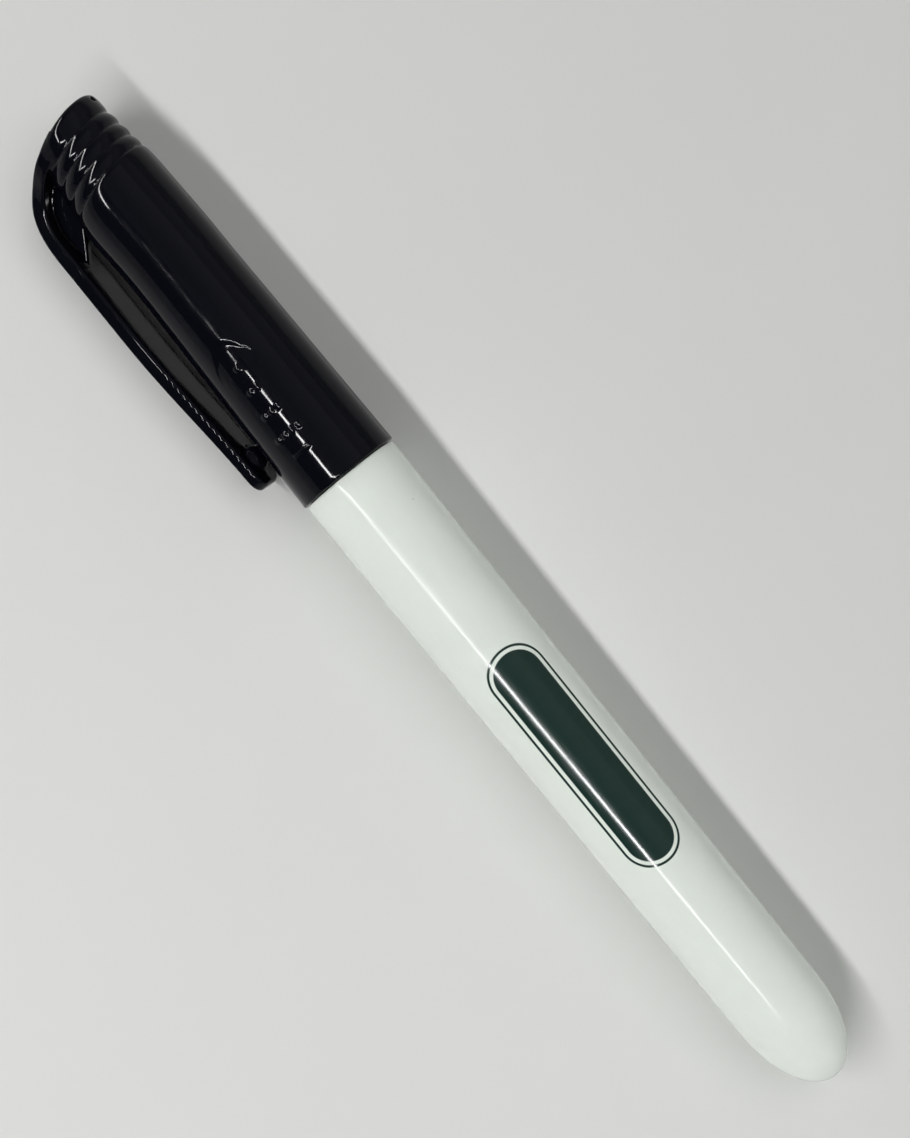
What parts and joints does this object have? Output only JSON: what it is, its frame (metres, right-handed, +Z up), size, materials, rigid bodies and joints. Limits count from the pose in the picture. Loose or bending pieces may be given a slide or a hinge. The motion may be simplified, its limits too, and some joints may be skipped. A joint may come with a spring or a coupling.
{
  "type": "permanent marker",
  "caption": "Permanent marker with a pale barrel rounded off at the rear and a black cap with ribbed neck and sprung clip. The cap pulls off the fibre nib and turns.",
  "frame": {"origin": "on the floor, under the middle of the marker's bounding box as it lies on its side", "axes": "+X along the marker towards the closed end of the cap, +Y towards the side the clip is on, +Z up from the floor"},
  "size_m": [0.1363, 0.0164, 0.0124],
  "materials": {
    "barrel_plastic": "pale mint-white gloss",
    "nose_plastic": "black satin",
    "nib_fibre": "pressed fibre soaked with ink",
    "reservoir_fibre": "bundled fibre soaked with ink",
    "wrap_film": "thin milky film",
    "liner_plastic": "natural satin",
    "cap_plastic": "black gloss",
    "clip_plastic": "black gloss"
  },
  "bodies": {
    "marker": {"barrel": "barrel_plastic", "nose_section": "nose_plastic", "nib": "nib_fibre", "ink_reservoir": "reservoir_fibre", "reservoir_wrap": "wrap_film"},
    "liner": {"inner_cap": "liner_plastic"},
    "cap": {"cap_shell": "cap_plastic"},
    "clip": {"clip_arm": "clip_plastic"}
  },
  "joints": [
    {"name": "cap_pull", "type": "slide", "parent": "marker", "child": "liner", "axis": [1, 0, 0.0096], "range_m": [0, 0.045]},
    {"name": "cap_turn", "type": "hinge", "parent": "liner", "child": "cap", "pos_m": [0.0177, -0.00203, 0.0062], "axis": [1, 0, 0.0096], "continuous": true},
    {"name": "clip_flex", "type": "hinge", "parent": "cap", "child": "clip", "pos_m": [0.05363, 0.00648, 0.00304], "axis": [0.0088, -0.3806, -0.9247], "range_deg": [0, 6], "stiffness_Nm_per_rad": 0.22}
  ]
}
